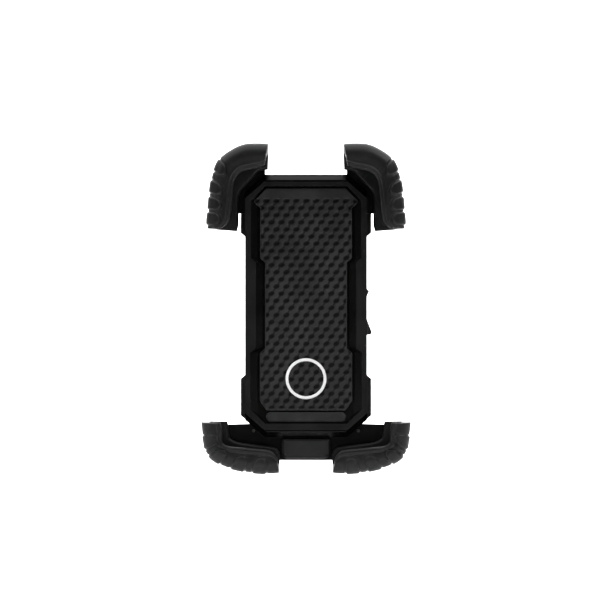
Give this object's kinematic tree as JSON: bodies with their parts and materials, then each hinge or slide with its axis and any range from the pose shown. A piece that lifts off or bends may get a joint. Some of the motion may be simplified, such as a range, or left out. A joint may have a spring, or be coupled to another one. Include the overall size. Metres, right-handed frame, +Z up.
{
  "type": "phone handlebar mount",
  "caption": "Black phone cradle with four rubber corner claws on spring-loaded sliding jaws, a side lock lever, a ball joint and a screw clamp for a round handlebar.",
  "frame": {"origin": "centre of the handlebar clamp's bore, level with the cradle's centre", "axes": "+X along the handlebar, +Z up, the screen side faces -Y"},
  "size_m": [0.0946, 0.0908, 0.1482],
  "materials": {
    "gloss_shell": "glossy black ABS",
    "satin_shell": "fine-grained satin black nylon",
    "jaw_plastic": "satin black nylon",
    "claw_rubber": "soft matt black TPE",
    "pad_rubber": "matt charcoal rubber with a raised weave",
    "badge_white": "white pad print",
    "tab_plastic": "satin black",
    "lever_plastic": "black",
    "knob_plastic": "grained black nylon",
    "clamp_alloy": "black anodised",
    "liner_rubber": "ribbed black rubber",
    "liner_nylon": "natural acetal",
    "steel": "zinc plated",
    "black_steel": "black oxide",
    "brass": "machined"
  },
  "bodies": {
    "clamp": {"clamp_body": "clamp_alloy", "clamp_liner_upper": "liner_rubber", "ball_stud": "clamp_alloy"},
    "clamp_jaw": {"clamp_jaw": "clamp_alloy", "clamp_liner_lower": "liner_rubber", "jaw_nut": "brass"},
    "clamp_screw": {"clamp_screw": "steel", "screw_clip": "steel", "clamp_knob": "knob_plastic"},
    "seat_ring": {"seat_ring": "liner_nylon"},
    "seat_dome": {"seat_dome": "liner_nylon"},
    "cradle": {"ball_socket": "satin_shell", "socket_screws": "steel", "front_frame": "gloss_shell", "grip_pad": "pad_rubber", "badge_ring": "badge_white", "bottom_strip": "pad_rubber", "back_cover": "satin_shell", "housing_screws": "black_steel", "pinion_axle": "steel", "lever_pin": "steel", "lever_spring": "steel", "upper_jaw_spring": "steel", "lower_jaw_spring": "steel"},
    "collar": {"locking_collar": "knob_plastic"},
    "upper_jaw": {"upper_jaw_plate": "jaw_plastic", "upper_right_claw": "claw_rubber", "upper_left_claw": "claw_rubber", "upper_rack": "liner_nylon"},
    "lower_jaw": {"lower_jaw_plate": "jaw_plastic", "lower_right_claw": "claw_rubber", "lower_left_claw": "claw_rubber", "lower_rack": "liner_nylon", "ratchet_bar": "black_steel", "pull_tab": "tab_plastic", "jaw_rivets": "black_steel"},
    "pinion": {"pinion": "brass"},
    "lock_lever": {"lock_lever": "lever_plastic", "lock_pawl": "steel"}
  },
  "joints": [
    {"name": "clamp_screw_turn", "type": "hinge", "parent": "clamp", "child": "clamp_screw", "pos_m": [0, 0, -0.05], "axis": [0, 0, 1], "range_deg": [0, 1440]},
    {"name": "clamp_jaw_slide", "type": "slide", "parent": "clamp", "child": "clamp_jaw", "axis": [0, 0, -1], "range_m": [0, 0.008]},
    {"name": "ball_tilt", "type": "hinge", "parent": "clamp", "child": "seat_ring", "pos_m": [0, -0.034, 0], "axis": [1, 0, 0], "range_deg": [-15, 15]},
    {"name": "ball_swing", "type": "hinge", "parent": "seat_ring", "child": "seat_dome", "pos_m": [0, -0.034, 0], "axis": [0, 0, 1], "range_deg": [-15, 15]},
    {"name": "ball_spin", "type": "hinge", "parent": "seat_dome", "child": "cradle", "pos_m": [0, -0.034, 0], "axis": [0, -1, 0], "continuous": true},
    {"name": "collar_turn", "type": "hinge", "parent": "cradle", "child": "collar", "pos_m": [0, -0.034, 0], "axis": [0, 1, 0], "range_deg": [0, 180]},
    {"name": "upper_jaw_slide", "type": "slide", "parent": "cradle", "child": "upper_jaw", "axis": [0, 0, 1], "range_m": [0, 0.014], "stiffness_N_per_m": 300, "springref_m": -0.04, "deforming": ["upper_jaw_spring", "lower_jaw_spring"]},
    {"name": "lower_jaw_slide", "type": "slide", "parent": "cradle", "child": "lower_jaw", "axis": [0, 0, -1], "range_m": [0, 0.014]},
    {"name": "pinion_spin", "type": "hinge", "parent": "cradle", "child": "pinion", "pos_m": [0, -0.0526, 0], "axis": [0, 1, 0], "range_deg": [0, 134.2]},
    {"name": "lock_lever_turn", "type": "hinge", "parent": "cradle", "child": "lock_lever", "pos_m": [0.0245, -0.0544, -0.0024], "axis": [0, 1, 0], "range_deg": [0, 11]}
  ],
  "couplings": [
    {"joint": "clamp_screw_turn", "follows": "clamp_jaw_slide", "rad_per_m": 3141.6},
    {"joint": "lower_jaw_slide", "follows": "upper_jaw_slide", "ratio": 1},
    {"joint": "pinion_spin", "follows": "upper_jaw_slide", "rad_per_m": 166.67}
  ]
}
